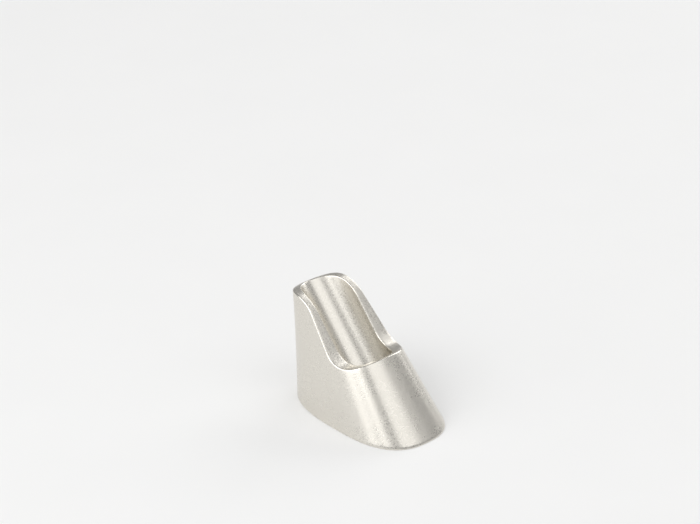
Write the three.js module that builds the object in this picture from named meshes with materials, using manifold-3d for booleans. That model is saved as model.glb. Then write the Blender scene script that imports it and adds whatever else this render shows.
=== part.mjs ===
// Pen rest: a tapered metal block with an inclined round pocket and a swept rim,
// standing on a thin rubber pad that is held in its underside by an adhesive film.
// Millimetres, +Z up. The nose faces -Y and the upright heel faces +Y. The origin is on
// the table, in the middle of the whole rest's width and length.

import * as THREE from 'three'
import { mergeVertices } from 'three/addons/utils/BufferGeometryUtils.js'
import Module from 'manifold-3d'

const wasm = await Module()
wasm.setup()

const degree = Math.PI / 180

// Foot of the block: the outline that its walls have where they would meet the table
const footLength = 55.7
const footWidth = 34.0
const noseToWidest = 23.9

// Powers of the superellipses: 2 is a plain ellipse, more is squarer
const nosePower = 2.6
const heelPowerAtFoot = 2.8
const heelPowerAtCrest = 2.5

// How far each wall leans from the upright
const sideDraft = 9.1 * degree
const heelLean = 5.4 * degree
const widestLean = 34.2 * degree
const penTilt = 41.5 * degree

// Pocket for the pen, bored parallel to the nose
const boreRadius = 8.6
const noseWall = 1.8
const boreFloor = 3
const boreCornerRadius = 3

// Rim, seen from the side: a crest at the heel, a steep run along the bore, a saddle, a lip
const crestHeight = 38.1
const crestRadius = 12.7
const crestFall = 20 * degree
const saddleHeight = 20.8
const saddleRadius = 9.4
const lipRise = 27 * degree

// Underside: the pad stands proud of the block by the reveal. The foot's rounding would end level,
// but the underside is ground flat and cuts it off at this angle before that
const reveal = 0.06
const footRound = 1.5
const footCut = 45 * degree
const recessDepth = 1
const padMargin = 3.2
const padClearance = 0.3
const filmThickness = 0.25
const filmSetback = 0.6

// Distance by which a cut runs past the metal
const overrun = 4

// Number of flats on the round shapes
const outlineSides = 120
const boreSides = 80
const cornerSides = 6
const rimArcSides = 18
const footRoundSides = 4
const wallSteps = 7

// Shares of the crest's height that the walls are drawn to, so that the rim cuts through them
const wallTopShare = 1.05

// Places along the length, worked out from the sizes above
const footNose = 0
const footHeel = footNose + footLength
const crestCentreHeight = crestHeight - crestRadius
const saddleCentreHeight = saddleHeight + saddleRadius

// The bore's axis stays parallel to the nose: it is also the rim's steep run
const axisBehindNose = (boreRadius + noseWall) / Math.cos(penTilt)
const axisAt = height => footNose + axisBehindNose + height * Math.tan(penTilt)

// Each arc of the rim touches the steep run
const crestCentreY = axisAt(crestCentreHeight) + crestRadius / Math.cos(penTilt)
const saddleCentreY = axisAt(saddleCentreHeight) - saddleRadius / Math.cos(penTilt)

// The heel's highest point lies on the rim's falling line behind the crest
const fallStartY = crestCentreY + crestRadius * Math.sin(crestFall)
const fallStartHeight = crestCentreHeight + crestRadius * Math.cos(crestFall)
const heelTopHeight = (fallStartHeight - (footHeel - fallStartY) * Math.tan(crestFall)) /
  (1 + Math.tan(heelLean) * Math.tan(crestFall))
const heelTopY = footHeel + heelTopHeight * Math.tan(heelLean)

// The rounded foot reaches furthest forward where its face is as steep as the nose
const noseTipHeight = reveal + footRound * (Math.cos(footCut) - Math.sin(penTilt))
const noseTipInset = footRound * (1 - Math.cos(penTilt))
const restNoseY = footNose + noseTipHeight * Math.tan(penTilt) + noseTipInset
const middleY = (restNoseY + heelTopY) / 2

const recessCeiling = reveal + recessDepth
const padTop = recessCeiling - filmThickness

// Deepest part of the pocket: the rounded corner of its end, under the bore's lower side
const boreEndHeight = recessCeiling + boreFloor + boreCornerRadius +
  Math.sin(penTilt) * (boreRadius - boreCornerRadius) - Math.cos(penTilt) * boreCornerRadius
const boreRun = (crestHeight + overrun - boreEndHeight) / Math.cos(penTilt) + boreRadius

const signedPower = (value, power) => Math.sign(value) * Math.abs(value) ** power

// Outline of the walls at a height: two half superellipses that meet at the widest line
function outlineAt (height, inset = 0) {
  const halfWidth = footWidth / 2 - height * Math.tan(sideDraft)
  const widestY = footNose + noseToWidest + height * Math.tan(widestLean)
  const noseReach = widestY - (footNose + height * Math.tan(penTilt))
  const heelReach = footHeel + height * Math.tan(heelLean) - widestY
  const heelPower = THREE.MathUtils.lerp(heelPowerAtFoot, heelPowerAtCrest, height / crestHeight)
  const points = []
  for (let side = 0; side < outlineSides; side++) {
    const angle = 2 * Math.PI * side / outlineSides
    const onNose = Math.sin(angle) < 0
    const reach = onNose ? noseReach : heelReach
    const power = onNose ? nosePower : heelPower
    const across = signedPower(Math.cos(angle), 2 / power)
    const along = signedPower(Math.sin(angle), 2 / power)
    const normal = new THREE.Vector2(
      signedPower(across, power - 1) / halfWidth,
      signedPower(along, power - 1) / reach
    ).normalize()
    points.push(new THREE.Vector2(
      halfWidth * across - inset * normal.x,
      widestY + reach * along - inset * normal.y - middleY
    ))
  }
  return points
}

// Closed skin through a stack of rings with equal counts, with a flat cap at each end
function loft (rings) {
  const positions = []
  const triangles = []
  const count = rings[0].points.length
  for (const { points, height } of rings) {
    for (const point of points) positions.push(point.x, point.y, height)
  }
  for (let ring = 0; ring + 1 < rings.length; ring++) {
    for (let side = 0; side < count; side++) {
      const next = (side + 1) % count
      const low = ring * count
      const high = low + count
      triangles.push(low + side, low + next, high + next, low + side, high + next, high + side)
    }
  }
  const top = (rings.length - 1) * count
  for (let side = 1; side + 1 < count; side++) {
    triangles.push(0, side + 1, side, top, top + side, top + side + 1)
  }
  const geometry = new THREE.BufferGeometry()
  geometry.setAttribute('position', new THREE.Float32BufferAttribute(positions, 3))
  geometry.setIndex(triangles)
  return geometry
}

// Straight prism on an outline, from one height to another
function prism (points, bottom, top) {
  const geometry = new THREE.ExtrudeGeometry(new THREE.Shape(points), {
    depth: top - bottom,
    bevelEnabled: false
  })
  return geometry.translate(0, 0, bottom)
}

function toSolid (geometry) {
  const bare = geometry.clone()
  bare.deleteAttribute('normal')
  bare.deleteAttribute('uv')
  const merged = mergeVertices(bare)
  return new wasm.Manifold(new wasm.Mesh({
    numProp: 3,
    vertProperties: new Float32Array(merged.attributes.position.array),
    triVerts: new Uint32Array(merged.index.array)
  }))
}

function toGeometry (solid) {
  const mesh = solid.getMesh()
  const geometry = new THREE.BufferGeometry()
  geometry.setAttribute('position', new THREE.BufferAttribute(mesh.vertProperties, 3))
  geometry.setIndex(new THREE.BufferAttribute(mesh.triVerts, 1))
  geometry.computeVertexNormals()
  return geometry
}

// The block before it is cut: a rounded foot edge, then straight leaning walls
function wallBlock () {
  const rings = []
  for (let step = 0; step <= footRoundSides; step++) {
    const angle = THREE.MathUtils.lerp(footCut, Math.PI / 2, step / footRoundSides)
    const height = reveal + footRound * (Math.cos(footCut) - Math.cos(angle))
    rings.push({ height, points: outlineAt(height, footRound * (1 - Math.sin(angle))) })
  }
  const wallFoot = reveal + footRound * Math.cos(footCut)
  const wallTop = crestHeight * wallTopShare
  for (let step = 1; step <= wallSteps; step++) {
    const height = wallFoot + (wallTop - wallFoot) * step / wallSteps
    rings.push({ height, points: outlineAt(height) })
  }
  return toSolid(loft(rings))
}

// Everything under the rim, as a side profile drawn right across the block
function underRim () {
  const front = -overrun
  const back = Math.max(heelTopY, fallStartY) + overrun
  const lipStartY = saddleCentreY - saddleRadius * Math.sin(lipRise)
  const lipStartHeight = saddleCentreHeight - saddleRadius * Math.cos(lipRise)
  const shape = new THREE.Shape()
  shape.moveTo(front, -overrun)
  shape.lineTo(back, -overrun)
  shape.lineTo(back, fallStartHeight - (back - fallStartY) * Math.tan(crestFall))
  shape.lineTo(fallStartY, fallStartHeight)
  shape.absarc(crestCentreY, crestCentreHeight, crestRadius,
    Math.PI / 2 - crestFall, Math.PI - penTilt, false)
  shape.absarc(saddleCentreY, saddleCentreHeight, saddleRadius,
    -penTilt, -Math.PI / 2 - lipRise, true)
  shape.lineTo(front, lipStartHeight + (lipStartY - front) * Math.tan(lipRise))
  shape.closePath()
  const geometry = new THREE.ExtrudeGeometry(shape, {
    depth: footWidth + 2 * overrun,
    bevelEnabled: false,
    curveSegments: rimArcSides
  })
  const lengthwise = new THREE.Vector3(0, 1, 0)
  const upright = new THREE.Vector3(0, 0, 1)
  const sideways = new THREE.Vector3(1, 0, 0)
  geometry.applyMatrix4(new THREE.Matrix4().makeBasis(lengthwise, upright, sideways))
  geometry.translate(-footWidth / 2 - overrun, -middleY, 0)
  return toSolid(geometry)
}

// Pocket for the pen: a round bore with a rounded corner at its blind end
function penBore () {
  const profile = [new THREE.Vector2(0, 0)]
  for (let step = 0; step <= cornerSides; step++) {
    const angle = step / cornerSides * Math.PI / 2
    profile.push(new THREE.Vector2(
      boreRadius - boreCornerRadius * (1 - Math.sin(angle)),
      boreCornerRadius * (1 - Math.cos(angle))
    ))
  }
  profile.push(new THREE.Vector2(boreRadius, boreRun), new THREE.Vector2(0, boreRun))
  const geometry = new THREE.LatheGeometry(profile, boreSides)
  geometry.rotateX(Math.PI / 2 - penTilt)
  geometry.translate(0, axisAt(boreEndHeight) - middleY, boreEndHeight)
  return toSolid(geometry)
}

function restBody () {
  const recess = toSolid(prism(outlineAt(reveal, padMargin), reveal - overrun, recessCeiling))
  return toGeometry(wallBlock().intersect(underRim()).subtract(penBore()).subtract(recess))
}

function basePad () {
  return prism(outlineAt(reveal, padMargin + padClearance), 0, padTop)
}

function padAdhesive () {
  return prism(outlineAt(reveal, padMargin + padClearance + filmSetback), padTop, recessCeiling)
}

const satinSteel = new THREE.MeshStandardMaterial({ color: 0xc9c7c2, metalness: 1, roughness: 0.38 })
const softRubber = new THREE.MeshStandardMaterial({ color: 0x1d1d1e, metalness: 0, roughness: 0.85 })
const clearFilm = new THREE.MeshStandardMaterial({ color: 0xd9d6c8, metalness: 0, roughness: 0.5 })

function named (name, geometry, material) {
  const mesh = new THREE.Mesh(geometry, material)
  mesh.name = name
  return mesh
}

const penRest = new THREE.Group()
penRest.add(
  named('rest_body', restBody(), satinSteel),
  named('base_pad', basePad(), softRubber),
  named('pad_adhesive', padAdhesive(), clearFilm)
)

export default penRest
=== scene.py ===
# %% [markdown]
# # A metal pen rest
#
# This lesson models a small desk object: one solid metal block with a sloping nose, a tall heel,
# an inclined round pocket and a rim that sweeps from a low lip up to a crest. Under it lies a
# thin rubber pad. The engineering model of the same object is loaded first. It says where each
# piece is and how large, and the lesson gives the pieces their finished surfaces.

# %% Load the frame
import math

import bmesh
import bpy
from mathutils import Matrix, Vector


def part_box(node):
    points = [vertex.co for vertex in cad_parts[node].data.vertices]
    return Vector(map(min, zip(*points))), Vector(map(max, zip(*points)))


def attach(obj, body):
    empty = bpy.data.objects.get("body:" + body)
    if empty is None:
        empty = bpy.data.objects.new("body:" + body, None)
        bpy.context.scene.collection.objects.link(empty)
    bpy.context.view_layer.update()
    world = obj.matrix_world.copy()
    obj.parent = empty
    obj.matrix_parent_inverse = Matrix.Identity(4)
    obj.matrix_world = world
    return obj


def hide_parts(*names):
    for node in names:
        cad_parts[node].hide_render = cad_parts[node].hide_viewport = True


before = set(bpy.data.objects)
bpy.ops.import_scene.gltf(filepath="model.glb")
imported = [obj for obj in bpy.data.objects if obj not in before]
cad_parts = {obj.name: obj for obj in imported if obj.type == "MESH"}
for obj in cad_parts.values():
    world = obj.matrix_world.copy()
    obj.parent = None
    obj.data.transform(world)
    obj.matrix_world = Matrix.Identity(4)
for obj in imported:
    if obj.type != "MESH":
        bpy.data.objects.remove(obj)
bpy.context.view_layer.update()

# %% [markdown]
# ## The camera
#
# The object is small and was seen through a long lens, so its lines hardly converge. A camera
# like that stands far back: here one metre, with a lens of about 154 mm on a sensor 36 mm wide.
# It looks down by 27 degrees, from the side where the nose and one flank both show. The point
# that it aims at lies above the block, which leaves the block in the lower half of the picture.

# %% Place the camera
CAMERA_DISTANCE = 1.0
CAMERA_BEARING = math.radians(42.34)
CAMERA_HEIGHT_ANGLE = math.radians(27.4)
CAMERA_AIM = Vector((0.0149, 0.02453, 0.0403))
SENSOR_WIDTH_MM = 36
FOCAL_LENGTH_MM = 154.3


def direction(bearing, height_angle):
    """Unit vector from the object: bearing 0 is the nose's side, and it grows towards -X."""
    flat = math.cos(height_angle)
    return Vector((-math.sin(bearing) * flat, -math.cos(bearing) * flat, math.sin(height_angle)))


def aim(item, place, target):
    """Puts a camera or a lamp at a place and turns it towards a target."""
    item.location = place
    item.rotation_euler = (target - place).to_track_quat("-Z", "Y").to_euler()


camera_data = bpy.data.cameras.new("camera")
camera_data.sensor_width = SENSOR_WIDTH_MM
camera_data.lens = FOCAL_LENGTH_MM
camera = bpy.data.objects.new("camera", camera_data)
bpy.context.scene.collection.objects.link(camera)
camera_side = direction(CAMERA_BEARING, CAMERA_HEIGHT_ANGLE)
aim(camera, CAMERA_AIM + CAMERA_DISTANCE * camera_side, CAMERA_AIM)
bpy.context.scene.camera = camera
print("the camera stands at", [round(part, 3) for part in camera.location])

# %% [markdown]
# ## Sizes of the block
#
# Everything that the frame can tell is measured on it: how high the block stands above the table,
# how tall and how wide it is, where its nose and its pad end. The rest are the block's own
# driving sizes: how each wall leans, the pocket's radius, and the two arcs of the rim.

# %% Measure the frame and name the driving sizes
MM = 0.001
block_low, block_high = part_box("rest_body")
pad_low, pad_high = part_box("base_pad")
film_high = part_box("pad_adhesive")[1]

POCKET_LEAN = math.radians(41.5)
SIDE_DRAFT = math.radians(9.1)
HEEL_LEAN = math.radians(5.4)
WIDEST_LEAN = math.radians(34.2)
FOOT_LENGTH = 55.7 * MM
NOSE_TO_WIDEST = 23.9 * MM
NOSE_POWER = 2.6
HEEL_POWER_AT_FOOT = 2.8
HEEL_POWER_AT_CREST = 2.5
FOOT_ROUND = 1.5 * MM
FOOT_CUT = math.radians(45)
PAD_MARGIN = 3.2 * MM
PAD_CLEARANCE = 0.3 * MM

BORE_RADIUS = 8.6 * MM
NOSE_WALL = 1.8 * MM
BORE_FLOOR = 3 * MM
BORE_CORNER = 3 * MM

CREST_RADIUS = 12.7 * MM
CREST_FALL = math.radians(20)
SADDLE_HEIGHT = 20.8 * MM
SADDLE_RADIUS = 9.4 * MM
LIP_RISE = math.radians(27)

reveal = block_low.z
crest_height = block_high.z
recess_ceiling = film_high.z
tip_height = reveal + FOOT_ROUND * (math.cos(FOOT_CUT) - math.sin(POCKET_LEAN))
tip_inset = FOOT_ROUND * (1 - math.cos(POCKET_LEAN))
foot_nose_y = block_low.y - tip_height * math.tan(POCKET_LEAN) - tip_inset
foot_heel_y = foot_nose_y + FOOT_LENGTH
wall_foot = reveal + FOOT_ROUND * math.cos(FOOT_CUT)
side_height = reveal + FOOT_ROUND * (math.cos(FOOT_CUT) - math.sin(SIDE_DRAFT))
side_inset = FOOT_ROUND * (1 - math.cos(SIDE_DRAFT))
foot_half_width = block_high.x + side_height * math.tan(SIDE_DRAFT) + side_inset
print("half width of the foot in mm:", round(foot_half_width / MM, 2))

# %% [markdown]
# ## The rim's profile
#
# Seen from the side, the rim is one line: a short rise at the lip, a hollow saddle, a straight
# steep run, a rounded crest and a gentle fall to the heel. The steep run lies on the pocket's
# axis, so each arc's centre follows from its radius and from the axis that it has to touch.

# %% Write the profile as a height for each place along the block
axis_start_y = foot_nose_y + (BORE_RADIUS + NOSE_WALL) / math.cos(POCKET_LEAN)


def axis_y(height):
    """Place along the block where the pocket's axis passes a height."""
    return axis_start_y + height * math.tan(POCKET_LEAN)


crest_centre_z = crest_height - CREST_RADIUS
crest_centre_y = axis_y(crest_centre_z) + CREST_RADIUS / math.cos(POCKET_LEAN)
saddle_centre_z = SADDLE_HEIGHT + SADDLE_RADIUS
saddle_centre_y = axis_y(saddle_centre_z) - SADDLE_RADIUS / math.cos(POCKET_LEAN)

lip_end_y = saddle_centre_y - SADDLE_RADIUS * math.sin(LIP_RISE)
run_start_y = saddle_centre_y + SADDLE_RADIUS * math.cos(POCKET_LEAN)
run_end_y = crest_centre_y - CREST_RADIUS * math.cos(POCKET_LEAN)
fall_start_y = crest_centre_y + CREST_RADIUS * math.sin(CREST_FALL)


def rim_height(y):
    """Height of the rim's surface at a place along the block."""
    if y < lip_end_y:
        lip_end_z = saddle_centre_z - SADDLE_RADIUS * math.cos(LIP_RISE)
        return lip_end_z + (lip_end_y - y) * math.tan(LIP_RISE)
    if y < run_start_y:
        return saddle_centre_z - math.sqrt(SADDLE_RADIUS ** 2 - (y - saddle_centre_y) ** 2)
    if y < run_end_y:
        return (y - axis_start_y) / math.tan(POCKET_LEAN)
    if y < fall_start_y:
        return crest_centre_z + math.sqrt(CREST_RADIUS ** 2 - (y - crest_centre_y) ** 2)
    fall_start_z = crest_centre_z + CREST_RADIUS * math.cos(CREST_FALL)
    return fall_start_z - (y - fall_start_y) * math.tan(CREST_FALL)


print("the rim at the saddle's middle, in mm:", round(rim_height(saddle_centre_y) / MM, 2))

# %% [markdown]
# ## The walls as a surface with two coordinates
#
# A level cut through the block is a superellipse: an ellipse whose corners are a little fuller.
# Its nose half and its heel half meet at the widest line. Every wall point is then given by two
# numbers, a bearing around the block and a height. Points that are spaced evenly between two
# such pairs stay exactly on the metal, which is what a clean reflection needs.

# %% Describe the walls
def level_shape(height, on_nose):
    """Widest place, half width, reach and power of one half of a level cut."""
    widest_y = foot_nose_y + NOSE_TO_WIDEST + height * math.tan(WIDEST_LEAN)
    half_width = foot_half_width - height * math.tan(SIDE_DRAFT)
    if on_nose:
        reach = widest_y - (foot_nose_y + height * math.tan(POCKET_LEAN))
        return widest_y, half_width, reach, NOSE_POWER
    reach = foot_heel_y + height * math.tan(HEEL_LEAN) - widest_y
    power_change = HEEL_POWER_AT_CREST - HEEL_POWER_AT_FOOT
    return widest_y, half_width, reach, HEEL_POWER_AT_FOOT + power_change * height / crest_height


def wall_level(point):
    """Below 1 inside the block's walls and above 1 outside them."""
    widest_y = foot_nose_y + NOSE_TO_WIDEST + point.z * math.tan(WIDEST_LEAN)
    widest_y, half_width, reach, power = level_shape(point.z, point.y < widest_y)
    return abs(point.x / half_width) ** power + abs((point.y - widest_y) / reach) ** power


def wall_point(bearing, height, inset=0.0):
    """Point of the wall at a bearing and a height, moved straight inwards by the inset."""
    cosine, sine = math.cos(bearing), math.sin(bearing)
    widest_y, half_width, reach, power = level_shape(height, sine < 0)
    distance = (abs(cosine / half_width) ** power + abs(sine / reach) ** power) ** (-1 / power)
    x, y = distance * cosine, distance * sine
    outwards = Vector((
        math.copysign(abs(x / half_width) ** (power - 1) / half_width, x),
        math.copysign(abs(y / reach) ** (power - 1) / reach, y),
        0,
    )).normalized()
    return Vector((x, widest_y + y, height)) - inset * outwards


def wall_place(point):
    """Bearing and height of a point on the wall."""
    widest_y = foot_nose_y + NOSE_TO_WIDEST + point.z * math.tan(WIDEST_LEAN)
    return math.atan2(point.y - widest_y, point.x), point.z


lip_point = wall_point(-math.pi / 2, rim_height(lip_end_y))
print("the wall at the middle of the lip, in mm:", [round(part / MM, 2) for part in lip_point])

# %% [markdown]
# ## The pocket as a surface with two coordinates
#
# The pocket is a round bore that leans back parallel to the nose and ends in a rounded corner.
# A point of it is given by a bearing around the axis and a run along the axis from the blind end.

# %% Describe the pocket
rise_to_end = BORE_FLOOR + BORE_CORNER
low_side_drop = math.sin(POCKET_LEAN) * (BORE_RADIUS - BORE_CORNER) - math.cos(POCKET_LEAN) * BORE_CORNER
bore_end_z = recess_ceiling + rise_to_end + low_side_drop
bore_end = Vector((0, axis_y(bore_end_z), bore_end_z))
bore_along = Vector((0, math.sin(POCKET_LEAN), math.cos(POCKET_LEAN)))
bore_under = Vector((0, math.cos(POCKET_LEAN), -math.sin(POCKET_LEAN)))


def bore_point(bearing, run, radius=BORE_RADIUS):
    """Point of the pocket at a bearing around its axis and a run from its blind end."""
    sideways = Vector((radius * math.cos(bearing), 0, 0))
    return bore_end + run * bore_along + sideways + radius * math.sin(bearing) * bore_under


def bore_place(point):
    """Bearing and run of a point on the pocket's wall."""
    arm = point - bore_end
    return math.atan2(arm.dot(bore_under), arm.x), arm.dot(bore_along)


def bore_level(point):
    """Below 1 inside the pocket and above 1 in the metal around it."""
    arm = point - bore_end
    return math.hypot(arm.dot(bore_under), arm.x) / BORE_RADIUS


print("the pocket's blind end, in mm:", [round(part / MM, 2) for part in bore_end])

# %% [markdown]
# ## Where the rim's rounded edges lie
#
# A cast and blasted block has no knife edges. Its edges are rounded as if a small ball had rolled
# along them, inside the metal, touching both faces. To find the ball's path, start over the middle
# of the pocket and walk outwards on the rim, with the ball hanging under it. At the pocket's edge
# the ball stops touching the bore, and at the outer edge it starts to touch the wall. Halving
# the step again and again finds both places to well under a micrometre.

# %% Hang a ball under the rim
RIM_ROUND = 0.45 * MM
POCKET_ROUND = 0.35 * MM
PROBE = 0.01 * MM
CONTACT_STEPS = 3


def rim_normal(y):
    """Direction square to the rim's surface at a place along the block."""
    slope = (rim_height(y + PROBE) - rim_height(y - PROBE)) / (2 * PROBE)
    return Vector((0, -slope, 1)).normalized()


def wall_normal(point):
    """Outward direction of the wall next to a point."""
    slopes = []
    for axis in range(3):
        step = Vector()
        step[axis] = PROBE
        slopes.append(wall_level(point + step) - wall_level(point - step))
    return Vector(slopes).normalized()


def ball_at_wall(point):
    """Ball that hangs under the rim here: its centre and the way to the nearest wall."""
    centre = point - RIM_ROUND * rim_normal(point.y)
    to_wall = wall_normal(centre)
    for _ in range(CONTACT_STEPS):
        to_wall = wall_normal(centre + RIM_ROUND * to_wall)
    return centre, to_wall


def ball_at_pocket(point):
    """Ball that hangs under the rim here: its centre and the way to the pocket's wall."""
    centre = point - POCKET_ROUND * rim_normal(point.y)
    arm = centre - bore_end
    return centre, (arm.dot(bore_along) * bore_along - arm).normalized()


def reaches_wall(point):
    """Reaches 1 where the ball of the outer edge touches the wall."""
    centre, to_wall = ball_at_wall(point)
    return wall_level(centre + RIM_ROUND * to_wall)


def leaves_pocket(point):
    """Reaches 1 where the ball of the pocket's edge touches the bore."""
    centre, _ = ball_at_pocket(point)
    return bore_level(centre) * BORE_RADIUS / (BORE_RADIUS + POCKET_ROUND)


print("balls, in mm: outer edge", round(RIM_ROUND / MM, 2), "and pocket's edge", round(POCKET_ROUND / MM, 2))

# %% Walk outwards to both edges
TURNS = 288
HALVINGS = 40
WALK_LIMIT = 60 * MM
rim_middle_y = 10 * MM
foot_middle_y = 6 * MM


def walk(turn, middle_y, height_at, level):
    """Walks from the middle towards a turn, over a surface, to where the level reaches 1."""
    near_side, far_side = 0.0, WALK_LIMIT
    for _ in range(HALVINGS):
        distance = (near_side + far_side) / 2
        x = distance * math.cos(turn)
        y = middle_y + distance * math.sin(turn)
        point = Vector((x, y, height_at(y)))
        if level(point) < 1:
            near_side = distance
        else:
            far_side = distance
    return point


turns = [2 * math.pi * step / TURNS for step in range(TURNS)]
rim_outer = [walk(turn, rim_middle_y, rim_height, reaches_wall) for turn in turns]
rim_inner = [walk(turn, rim_middle_y, rim_height, leaves_pocket) for turn in turns]
foot_edge = [walk(turn, foot_middle_y, lambda y: 0.0, wall_level) for turn in turns]
outer_balls = [ball_at_wall(point) for point in rim_outer]
inner_balls = [ball_at_pocket(point) for point in rim_inner]
wall_contacts = [centre + RIM_ROUND * to_wall for centre, to_wall in outer_balls]
bore_contacts = [centre + POCKET_ROUND * to_bore for centre, to_bore in inner_balls]
band = [(outer - inner).length for outer, inner in zip(rim_outer, rim_inner)]
print("flat part of the rim's band in mm:", round(min(band) / MM, 2), "to", round(max(band) / MM, 2))

# %% [markdown]
# ## Ring after ring
#
# A block like this could be cut out of a solid with Booleans, but a cut leaves long thin faces
# beside the edge, and polished metal shows every one of them. Here the whole skin is one sleeve
# of rings instead. It starts as a circle in the underside, and each extrusion adds a ring that is
# placed on the foot, the wall, the rim or the pocket. All rings have the same number of points,
# so the skin is made of four-sided faces throughout.

# %% A sleeve that grows ring by ring
class Sleeve:
    """A skin that starts as one ring of points and grows by extruding its open edge."""

    def __init__(self, points):
        self.mesh = bmesh.new()
        self.order = self.mesh.verts.layers.int.new("order")
        # Each point also carries an edge mask: real wear on the rounded edges, and a painted highlight there
        # in the steel's tone.
        self.wear_and_highlight = self.mesh.verts.layers.float.new("wear_and_highlight")
        bmesh.ops.create_circle(self.mesh, segments=len(points), radius=1)
        for number, vertex in enumerate(self.mesh.verts):
            vertex[self.order] = number
            vertex.co = points[number]
        self.first = list(self.mesh.edges)
        self.last = self.first

    def grow(self, points, wear_and_highlight=0.0):
        """Adds one ring, puts its points in place and returns its edges."""
        made = bmesh.ops.extrude_edge_only(self.mesh, edges=self.last)["geom"]
        fresh = {item for item in made if isinstance(item, bmesh.types.BMVert)}
        for vertex in fresh:
            vertex.co = points[vertex[self.order]]
            vertex[self.wear_and_highlight] = wear_and_highlight
        made_edges = [item for item in made if isinstance(item, bmesh.types.BMEdge)]
        self.last = [edge for edge in made_edges if fresh.issuperset(edge.verts)]
        return self.last

    def close(self):
        """Fills both open ends and turns every face outwards."""
        bmesh.ops.holes_fill(self.mesh, edges=self.first + self.last, sides=0)
        bmesh.ops.recalc_face_normals(self.mesh, faces=list(self.mesh.faces))


def mix(start, end, share):
    """Number that lies at a share of the way from start to end."""
    return start + (end - start) * share


def near(angle, reference):
    """The same angle, counted so that it lies within half a turn of the reference."""
    return reference + math.remainder(angle - reference, 2 * math.pi)


print("a third of the way from 2 to 8 is", mix(2, 8, 1 / 3))

# %% [markdown]
# ## Rows that leave an edge squarely
#
# The steep run of the rim is almost parallel to the lines that rise along the nose. Rows that ran
# straight from the foot to the rim would meet it at a sliver of an angle, and their long thin
# faces would shade badly. So the row beside each rounded edge is set square to it, on the
# surface itself, and only from there do the rows lead on to the foot or to the pocket's end.

# %% Rows beside the rounded edges
WALL_STEP = 1.0 * MM
BORE_STEP = 1.0 * MM
quarter = math.pi / 2


def below_edge(number):
    """Bearing and height of the wall's row just under the rounded edge."""
    along = wall_contacts[(number + 1) % TURNS] - wall_contacts[number - 1]
    downwards = along.cross(outer_balls[number][1]).normalized()
    return wall_place(wall_contacts[number] + WALL_STEP * downwards)


def inside_pocket(number):
    """Swing from the front and run of the pocket's row just inside its edge."""
    bearing, run = bore_place(bore_contacts[number])
    before_bearing, before_run = bore_place(bore_contacts[number - 1])
    after_bearing, after_run = bore_place(bore_contacts[(number + 1) % TURNS])
    around = BORE_RADIUS * (near(after_bearing, bearing) - near(before_bearing, bearing))
    forwards = after_run - before_run
    length = math.hypot(around, forwards)
    turned = bearing + BORE_STEP * forwards / length / BORE_RADIUS
    return near(turned + quarter, 0), run - BORE_STEP * around / length


wall_rows_end = [below_edge(number) for number in range(TURNS)]
bore_rows_start = [inside_pocket(number) for number in range(TURNS)]
print("the row inside the pocket starts", round(min(run for _, run in bore_rows_start) / MM, 1), "mm up")

# %% [markdown]
# ## From the underside up to the rim
#
# The first rings make the shallow recess for the pad, the flat ring around it and the rounded
# foot. Then the wall's rows climb to the rim, and the band's rows cross it.

# %% Underside, foot, walls and rim
FOOT_ROWS = 10
WALL_ROWS = 40
BAND_SHARES = (0.25, 0.5, 0.75)
ROUND_ROWS = 10

foot_bearings = [wall_place(point)[0] for point in foot_edge]
recess_mouth = [wall_point(bearing, reveal, PAD_MARGIN) for bearing in foot_bearings]
recess_top = [Vector((point.x, point.y, recess_ceiling)) for point in recess_mouth]

block = Sleeve(recess_top)
recess_edge = block.grow(recess_mouth)
for step in range(FOOT_ROWS + 1):
    arc = mix(FOOT_CUT, quarter, step / FOOT_ROWS)
    height = reveal + FOOT_ROUND * (math.cos(FOOT_CUT) - math.cos(arc))
    inset = FOOT_ROUND * (1 - math.sin(arc))
    block.grow([wall_point(bearing, height, inset) for bearing in foot_bearings])

for step in range(1, WALL_ROWS + 1):
    share = step / WALL_ROWS
    row = []
    for bearing, (end_bearing, end_height) in zip(foot_bearings, wall_rows_end):
        turned = mix(bearing, near(end_bearing, bearing), share)
        row.append(wall_point(turned, mix(wall_foot, end_height, share)))
    block.grow(row)

# The rounded outer edge gets the edge mask, peaking along its middle: real wear, and a painted highlight in
# the steel's tone.
for step in range(ROUND_ROWS + 1):
    share = step / ROUND_ROWS
    row = []
    for (centre, to_wall), point in zip(outer_balls, rim_outer):
        row.append(centre + RIM_ROUND * to_wall.slerp(rim_normal(point.y), share))
    block.grow(row, wear_and_highlight=math.sin(math.pi * share))

for share in BAND_SHARES:
    row = [outer.lerp(inner, share) for outer, inner in zip(rim_outer, rim_inner)]
    block.grow([Vector((point.x, point.y, rim_height(point.y))) for point in row])
print("rings so far cross the rim's band, with", len(block.mesh.faces), "faces")

# %% [markdown]
# ## Down into the pocket
#
# The rows inside the pocket fan out. Those that start on the steep run lead down the trough, and
# those from the lip lead down the front. A share of the swing around the axis that grows quickly
# with the run keeps neighbouring rows from crossing.

# %% Pocket wall, rounded corner and floor
BORE_ROWS = 36
CORNER_ROWS = 8
FLOOR_SHARES = (0.7, 0.35)
FAN_POWER = 0.4
FAN_SHARE = 0.65
runs = [run for _, run in bore_rows_start]


def swing_at_end(swing, run):
    """Swing around the axis, from the front, with which a row reaches the pocket's end."""
    climbed = (run - min(runs)) / (max(runs) - min(runs))
    fanned = mix(abs(swing), math.pi * climbed ** FAN_POWER, FAN_SHARE)
    return math.copysign(fanned, swing)


# The pocket's rounded edge gets the edge mask too: real wear, and a painted highlight in the steel's tone.
for step in range(ROUND_ROWS + 1):
    share = step / ROUND_ROWS
    row = []
    for (centre, to_bore), point in zip(inner_balls, rim_inner):
        row.append(centre + POCKET_ROUND * rim_normal(point.y).slerp(to_bore, share))
    block.grow(row, wear_and_highlight=math.sin(math.pi * share))

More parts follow.
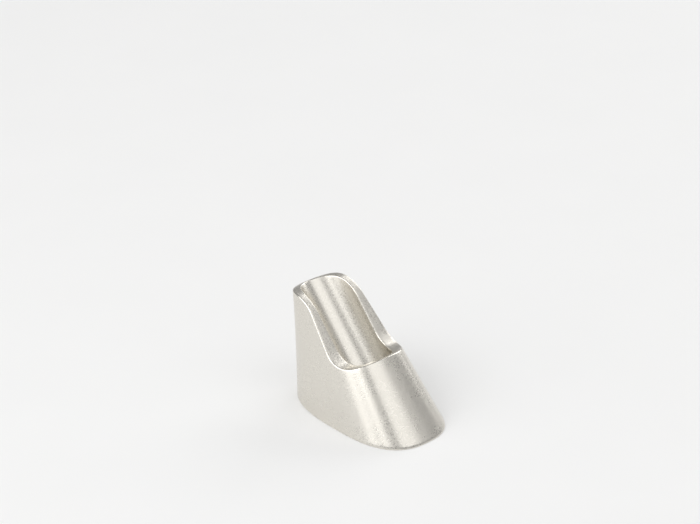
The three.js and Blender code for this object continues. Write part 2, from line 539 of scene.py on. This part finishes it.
ends = [swing_at_end(swing, run) for swing, run in bore_rows_start]
for step in range(BORE_ROWS + 1):
    share = step / BORE_ROWS
    row = []
    for (swing, run), end_swing in zip(bore_rows_start, ends):
        row.append(bore_point(mix(swing, end_swing, share) - quarter, mix(run, BORE_CORNER, share)))
    block.grow(row)

for step in range(1, CORNER_ROWS + 1):
    arc = step / CORNER_ROWS * quarter
    radius = BORE_RADIUS - BORE_CORNER * (1 - math.cos(arc))
    run = BORE_CORNER * (1 - math.sin(arc))
    block.grow([bore_point(swing - quarter, run, radius) for swing in ends])
for share in FLOOR_SHARES:
    radius = share * (BORE_RADIUS - BORE_CORNER)
    block.grow([bore_point(swing - quarter, 0, radius) for swing in ends])
block.close()
print("the closed skin has", len(block.mesh.faces), "faces")

# %% [markdown]
# ## Break the recess's edge
#
# The edge around the recess gets a narrow bevel, as a cutter or a file would leave it.

# %% Bevel the mouth of the recess
RECESS_ROUND = 0.15 * MM
RECESS_SEGMENTS = 3

rounded = bmesh.ops.bevel(
    block.mesh,
    geom=recess_edge,
    offset=RECESS_ROUND,
    offset_type="OFFSET",
    segments=RECESS_SEGMENTS,
    profile=0.5,
    affect="EDGES",
    material=-1,
)
print("the bevel adds", len(rounded["faces"]), "faces")

# %% [markdown]
# ## From a bmesh to a piece
#
# Each finished bmesh becomes an object that sits at the origin, with its place in its points. Faces
# are shaded smooth, and only edges that turn by more than the given angle stay crisp.

# %% Make the block's object
SMOOTH_UNDER = math.radians(38)


def make_piece(name, mesh):
    """Turns a bmesh into an object of the scene and frees the bmesh."""
    data = bpy.data.meshes.new(name)
    mesh.to_mesh(data)
    mesh.free()
    data.shade_smooth()
    data.set_sharp_from_angle(angle=SMOOTH_UNDER)
    piece = bpy.data.objects.new(name, data)
    bpy.context.scene.collection.objects.link(piece)
    return piece


def place_in_frame(piece, node):
    """Lets a piece move with the object and hides the node whose place it takes."""
    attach(piece, "root")
    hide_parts(node)


block.mesh.verts.layers.int.remove(block.order)
block_piece = make_piece("metal_block", block.mesh)
place_in_frame(block_piece, "rest_body")
print("the block has", len(block_piece.data.vertices), "points")

# %% [markdown]
# ## The pad
#
# The block would scratch a desk, so it stands on a sheet of soft rubber that sits in the recess
# and is a little thicker than the recess is deep. A die cuts such a pad, which leaves its lower
# edge slightly rounded.

# %% Model the pad
PAD_ROUND = 0.3 * MM
PAD_ROUND_ROWS = 4
pad_inset = PAD_MARGIN + PAD_CLEARANCE


def pad_ring(height, inset):
    """Outline of the pad at a height, drawn in by an inset."""
    ring = []
    for bearing in foot_bearings:
        edge = wall_point(bearing, reveal, pad_inset + inset)
        ring.append(Vector((edge.x, edge.y, height)))
    return ring


pad = Sleeve(pad_ring(pad_high.z, 0))
for step in range(PAD_ROUND_ROWS + 1):
    arc = step / PAD_ROUND_ROWS * quarter
    height = pad_low.z + PAD_ROUND * (1 - math.sin(arc))
    pad.grow(pad_ring(height, PAD_ROUND * (1 - math.cos(arc))))
pad.close()
pad.mesh.verts.layers.int.remove(pad.order)
pad_piece = make_piece("rubber_pad", pad.mesh)
place_in_frame(pad_piece, "base_pad")
print("the pad has", len(pad_piece.data.vertices), "points")

# %% [markdown]
# ## Writing a material as sums
#
# Node trees grow quickly. A small class wraps an output socket, so that patterns can be added and
# multiplied like numbers, and one method makes every other kind of node.

# %% A socket that can be calculated with
class Wire:
    """An output socket of a node tree that takes part in sums and products."""

    def __init__(self, socket):
        self.socket = socket
        self.tree = socket.id_data

    def node(self, kind, settings, sockets, output=0):
        """Adds a node of a kind, with its settings first and then its values or links."""
        made = self.tree.nodes.new(kind)
        for name, value in settings.items():
            if name == "stops":
                for stop, (place, colour) in zip(made.color_ramp.elements, value):
                    stop.position = place
                    stop.color = colour
            else:
                setattr(made, name, value)
        for name, value in sockets.items():
            if isinstance(value, Wire):
                self.tree.links.new(value.socket, made.inputs[name])
            else:
                made.inputs[name].default_value = value
        return Wire(made.outputs[output])

    def maths(self, operation, first, second):
        """Adds a Math node."""
        return self.node("ShaderNodeMath", {"operation": operation}, {0: first, 1: second})

    def __add__(self, other):
        return self.maths("ADD", self, other)

    __radd__ = __add__

    def __sub__(self, other):
        return self.maths("SUBTRACT", self, other)

    def __rsub__(self, other):
        return self.maths("SUBTRACT", other, self)

    def __mul__(self, other):
        return self.maths("MULTIPLY", self, other)

    __rmul__ = __mul__

    def noise(self, size, detail=2.0, roughness=0.5):
        """Cloudy pattern from 0 to 1 whose patches have about this size."""
        sockets = {"Vector": self, "Scale": 1 / size, "Detail": detail, "Roughness": roughness}
        return self.node("ShaderNodeTexNoise", {}, sockets)

    def between(self, low, high):
        """Stretches the part of a pattern from low to high to the span from 0 to 1."""
        settings = {"interpolation_type": "SMOOTHSTEP"}
        return self.node("ShaderNodeMapRange", settings, {"Value": self, 1: low, 2: high})

    def colours(self, dark, light):
        """Colour that goes from dark at 0 to light at 1."""
        settings = {"data_type": "RGBA"}
        return self.node("ShaderNodeMix", settings, {0: self, 6: dark, 7: light}, output=2)

    def bump(self, depth):
        """Relief of this depth in metres, as a normal."""
        return self.node("ShaderNodeBump", {}, {"Height": self, "Distance": depth, "Strength": 1.0})


class Finish:
    """A material with its shader, and the object coordinates that its patterns read."""

    def __init__(self, name, metallic=0.0, roughness=0.5):
        self.material = bpy.data.materials.new(name)
        self.material.use_nodes = True
        self.tree = self.material.node_tree
        self.shader = self.tree.nodes["Principled BSDF"]
        self.shader.inputs["Metallic"].default_value = metallic
        self.shader.inputs["Roughness"].default_value = roughness
        self.place = Wire(self.tree.nodes.new("ShaderNodeTexCoord").outputs["Object"])

    def attribute(self, name):
        """Value that the mesh carries at its points."""
        node = self.tree.nodes.new("ShaderNodeAttribute")
        node.attribute_name = name
        return Wire(node.outputs["Fac"])

    def feed(self, name, wire):
        """Links a pattern to one of the shader's sockets."""
        self.tree.links.new(wire.socket, self.shader.inputs[name])

    def cover(self, piece):
        """Makes this the only material of a piece."""
        piece.data.materials.clear()
        piece.data.materials.append(self.material)


# %% [markdown]
# ## Satin metal
#
# Blasting with fine beads leaves steel covered in tiny dents. From a step away they blur its
# reflections, and up close they glitter. One fine noise stands for them in three ways at once: as a
# shallow relief, as a change of roughness and as a slight change of tone. A broad and faint one is
# the unevenness that hands and cloths leave. The rubbed edges are smoother, and a painted highlight
# makes their tone a little brighter.

# %% The block's finish
STEEL_DARK = (0.720, 0.692, 0.635, 1)
STEEL_LIGHT = (0.762, 0.733, 0.672, 1)
GRAIN_SIZE = 0.5 * MM
PATCH_SIZE = 9 * MM
GRAIN_DEPTH = 0.024 * MM
SPECKLE_SPAN = (0.35, 0.65)
RUBBED_AND_HIGHLIGHT_SPAN = (0.2, 1.0)
SMOOTHEST = 0.246
ROUGHER_IN_PATCHES = 0.05
ROUGHER_IN_SPECKLE = 0.098
SMOOTHER_WHERE_RUBBED = 0.09

steel = Finish("satin_steel", metallic=1.0)
patches = steel.place.noise(PATCH_SIZE, detail=3)
grain = steel.place.noise(GRAIN_SIZE, detail=1)
speckle = grain.between(*SPECKLE_SPAN)
rubbed_and_highlight = steel.attribute("wear_and_highlight").between(*RUBBED_AND_HIGHLIGHT_SPAN)
# The edge mask lightens the tone along the rounded edges: a painted highlight, on top of their real wear.
tone = 0.7 * speckle + 0.3 * patches + 0.25 * rubbed_and_highlight
steel.feed("Base Color", tone.colours(STEEL_DARK, STEEL_LIGHT))
dents = SMOOTHEST + ROUGHER_IN_PATCHES * patches + ROUGHER_IN_SPECKLE * speckle
steel.feed("Roughness", dents - SMOOTHER_WHERE_RUBBED * rubbed_and_highlight)
steel.feed("Normal", grain.bump(GRAIN_DEPTH))
steel.cover(block_piece)
print("the steel is made of", len(steel.tree.nodes), "nodes")

# %% [markdown]
# ## Rubber and film
#
# The pad's rubber is nearly black and dull, with a fine pebbled skin. The film that
# holds it is a thin cream sheet, seen only as a line in the gap around the pad.

# %% The pad's and the film's finishes
RUBBER_DARK = (0.016, 0.016, 0.017, 1)
RUBBER_LIGHT = (0.04, 0.04, 0.041, 1)
PEBBLE_SIZE = 0.5 * MM
PEBBLE_DEPTH = 0.03 * MM
DUST_SIZE = 6 * MM
FILM_DARK = (0.62, 0.59, 0.48, 1)
FILM_LIGHT = (0.74, 0.71, 0.6, 1)
CREASE_SIZE = 2.5 * MM
CREASE_DEPTH = 0.02 * MM

rubber = Finish("pad_rubber")
pebbles = rubber.place.noise(PEBBLE_SIZE, detail=2)
dust = rubber.place.noise(DUST_SIZE, detail=4)
rubber.feed("Base Color", dust.between(0.35, 0.75).colours(RUBBER_DARK, RUBBER_LIGHT))
rubber.feed("Roughness", 0.72 + 0.2 * dust)
rubber.feed("Normal", pebbles.bump(PEBBLE_DEPTH))
rubber.cover(pad_piece)

film = Finish("adhesive_film")
creases = film.place.noise(CREASE_SIZE, detail=2)
film.feed("Base Color", creases.colours(FILM_DARK, FILM_LIGHT))
film.feed("Roughness", 0.35 + 0.2 * creases)
film.feed("Normal", creases.bump(CREASE_DEPTH))
film.cover(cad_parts["pad_adhesive"])
print("the rubber is made of", len(rubber.tree.nodes), "nodes and the film of", len(film.tree.nodes))

# %% [markdown]
# ## A pale table
#
# The block stands on a white table of opal sheet that is lit a little from below, so that the
# shadows stay faint. Metal shows what is around it, so the table matters twice: as the background
# and as a reflection in the flank and in the rounded foot.

# %% The table
TABLE_SIZE = 8.0
TABLE_DROP = 0.02 * MM
TABLE_DARK = (0.65, 0.65, 0.646, 1)
TABLE_LIGHT = (0.67, 0.67, 0.666, 1)
TABLE_GLOW = 0.225
TABLE_GLOSS = 0.2
CLOUD_SIZE = 40 * MM

table_mesh = bmesh.new()
bmesh.ops.create_grid(table_mesh, x_segments=8, y_segments=8, size=TABLE_SIZE / 2)
bmesh.ops.translate(table_mesh, verts=table_mesh.verts, vec=(0, 0, -TABLE_DROP))
table = make_piece("table", table_mesh)
opal = Finish("table_white", roughness=0.8)
opal.shader.inputs["Specular IOR Level"].default_value = TABLE_GLOSS
cloudy = opal.place.noise(CLOUD_SIZE, detail=3)
opal.feed("Base Color", cloudy.colours(TABLE_DARK, TABLE_LIGHT))
opal.shader.inputs["Emission Color"].default_value = (TABLE_GLOW, TABLE_GLOW, TABLE_GLOW, 1)
opal.shader.inputs["Emission Strength"].default_value = 1
opal.cover(table)
print("the table's side in metres:", TABLE_SIZE)

# %% [markdown]
# ## Studio light
#
# The light is that of a small product studio: two large soft panels that overlap at the left, one
# high in front of the nose, one at the right, and a dim room around them. Metal shows its lamps, so
# their places were worked out from the bands on the nose: a surface that faces a given way
# reflects just one direction. The dark bands are the gaps between the panels. The strengths were
# then matched to the tones on the block and on the table. The camera sees a paler backdrop than
# the metal does, so that the room can stay dim while the picture's background is pale.

# %% Panels and room
PANEL_DISTANCE = 1.5
PANEL_TARGET = Vector((0, 0, 0.02))
ROOM_GLOW = 0.375
BACKDROP_GLOW = 0.86


def panel(name, bearing, height_angle, half_width, half_height, radiance, tint=(1, 1, 1)):
    """A soft lamp that faces the object; its size is given as it looks from there, in degrees."""
    width, height = (2 * PANEL_DISTANCE * math.tan(math.radians(half)) for half in (half_width, half_height))
    data = bpy.data.lights.new(name, "AREA")
    data.shape = "RECTANGLE"
    data.size = width
    data.size_y = height
    data.energy = radiance * math.pi * width * height
    data.color = tint
    lamp = bpy.data.objects.new(name, data)
    bpy.context.scene.collection.objects.link(lamp)
    lamp.visible_camera = False
    way = direction(math.radians(bearing), math.radians(height_angle))
    aim(lamp, PANEL_TARGET + PANEL_DISTANCE * way, PANEL_TARGET)
    print(name, "measures", round(width, 2), "by", round(height, 2), "metres")


panel("left_panel", 107, 35, 25, 29, 1.32)
panel("high_left_panel", 89, 44, 28, 17, 1.5)
panel("front_panel", -11, 54, 24, 22, 1.0)
panel("right_panel", -102, 30, 20, 19, 2.12)

world = bpy.data.worlds.new("room")
world.use_nodes = True
bpy.context.scene.world = world
background = world.node_tree.nodes["Background"]
seen = Wire(world.node_tree.nodes.new("ShaderNodeLightPath").outputs["Is Camera Ray"])
glow = seen * (BACKDROP_GLOW - ROOM_GLOW) + ROOM_GLOW
world.node_tree.links.new(glow.socket, background.inputs["Color"])
bpy.context.scene.view_settings.view_transform = "Standard"
print("the room glows with", ROOM_GLOW, "and its backdrop with", BACKDROP_GLOW)
